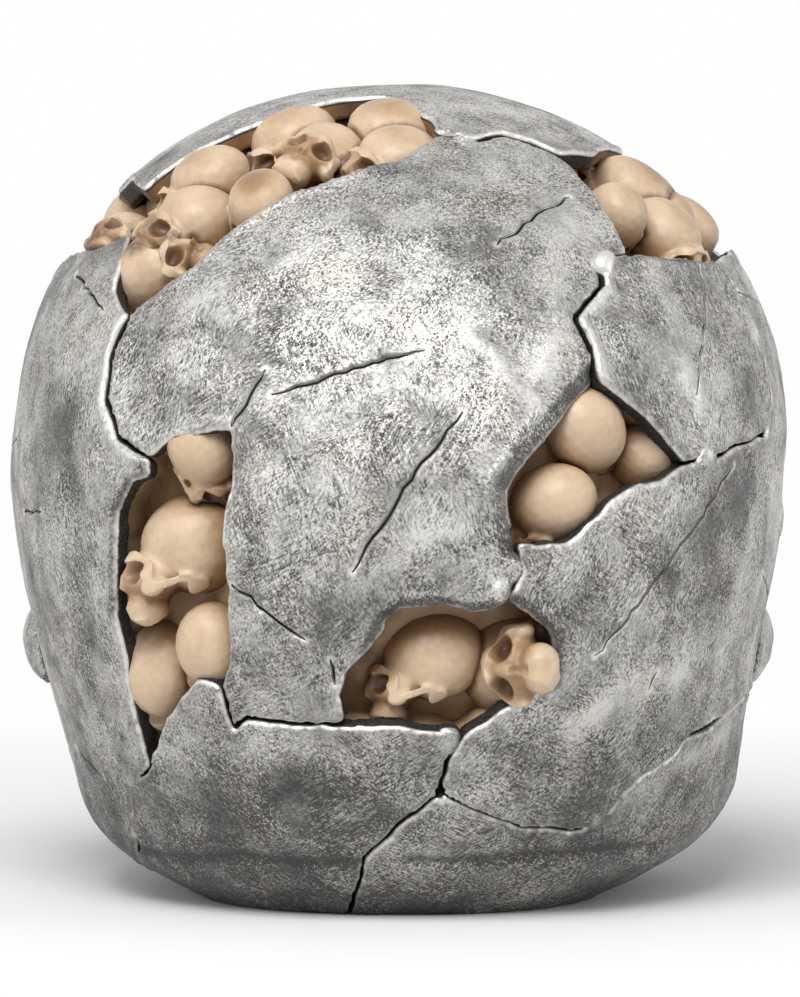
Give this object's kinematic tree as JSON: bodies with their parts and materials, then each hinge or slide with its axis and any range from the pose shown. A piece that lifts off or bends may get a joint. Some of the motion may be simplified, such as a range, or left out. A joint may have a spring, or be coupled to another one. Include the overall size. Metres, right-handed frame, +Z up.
{
  "type": "skull ornament",
  "caption": "Standing skull ornament with no lower jaw: cracked silver plates over an ivory core, with small ivory skulls showing through broken openings.",
  "frame": {"origin": "middle of the bounding box in X and Y, at the underside of the felt pad", "axes": "+Z up, +Y the way the face looks, so the picture looks along +Y at the back of the head; +X to the right in the picture"},
  "size_m": [0.141, 0.1778, 0.146],
  "materials": {
    "antique_silver": "satin",
    "dark_silver": "matte",
    "tooth_silver": "satin",
    "small_skull_ivory": "satin",
    "core_ivory": "satin",
    "felt": "matte"
  },
  "bodies": {
    "root": {"back_centre_plate": "antique_silver", "core": "core_ivory", "crown_left_small_skull_1": "small_skull_ivory", "crown_left_small_skull_10": "small_skull_ivory", "crown_left_small_skull_2": "small_skull_ivory", "crown_left_small_skull_3": "small_skull_ivory", "crown_left_small_skull_4": "small_skull_ivory", "crown_left_small_skull_5": "small_skull_ivory", "crown_left_small_skull_6": "small_skull_ivory", "crown_left_small_skull_7": "small_skull_ivory", "crown_left_small_skull_8": "small_skull_ivory", "crown_left_small_skull_9": "small_skull_ivory", "crown_plate": "antique_silver", "crown_right_small_skull_1": "small_skull_ivory", "crown_right_small_skull_2": "small_skull_ivory", "crown_right_small_skull_3": "small_skull_ivory", "crown_right_small_skull_4": "small_skull_ivory", "crown_right_small_skull_5": "small_skull_ivory", "crown_right_small_skull_6": "small_skull_ivory", "felt_pad": "felt", "forehead_left_small_skull_1": "small_skull_ivory", "forehead_left_small_skull_2": "small_skull_ivory", "forehead_plate": "antique_silver", "forehead_right_small_skull_1": "small_skull_ivory", "forehead_right_small_skull_2": "small_skull_ivory", "left_brow_plate": "antique_silver", "left_cheek_arch": "antique_silver", "left_cheek_plate": "antique_silver", "left_ear_plate": "antique_silver", "left_side_plate": "antique_silver", "left_socket_lining": "dark_silver", "lower_left_plate": "antique_silver", "lower_right_plate": "antique_silver", "nape_left_small_skull_1": "small_skull_ivory", "nape_left_small_skull_2": "small_skull_ivory", "nape_left_small_skull_3": "small_skull_ivory", "nape_left_small_skull_4": "small_skull_ivory", "nape_middle_small_skull_1": "small_skull_ivory", "nape_middle_small_skull_2": "small_skull_ivory", "nape_right_small_skull_1": "small_skull_ivory", "nape_right_small_skull_2": "small_skull_ivory", "nape_right_small_skull_3": "small_skull_ivory", "nose_bridge_plate": "antique_silver", "nose_lining": "dark_silver", "palate_plate": "antique_silver", "right_back_plate": "antique_silver", "right_brow_plate": "antique_silver", "right_cheek_arch": "antique_silver", "right_cheek_plate": "antique_silver", "right_ear_plate": "antique_silver", "right_socket_lining": "dark_silver", "right_temple_plate": "antique_silver", "right_upper_plate": "antique_silver", "temple_left_small_skull_1": "small_skull_ivory", "temple_left_small_skull_2": "small_skull_ivory", "temple_left_small_skull_3": "small_skull_ivory", "temple_right_small_skull_1": "small_skull_ivory", "temple_right_small_skull_2": "small_skull_ivory", "temple_right_small_skull_3": "small_skull_ivory", "upper_teeth": "tooth_silver"}
  },
  "joints": []
}
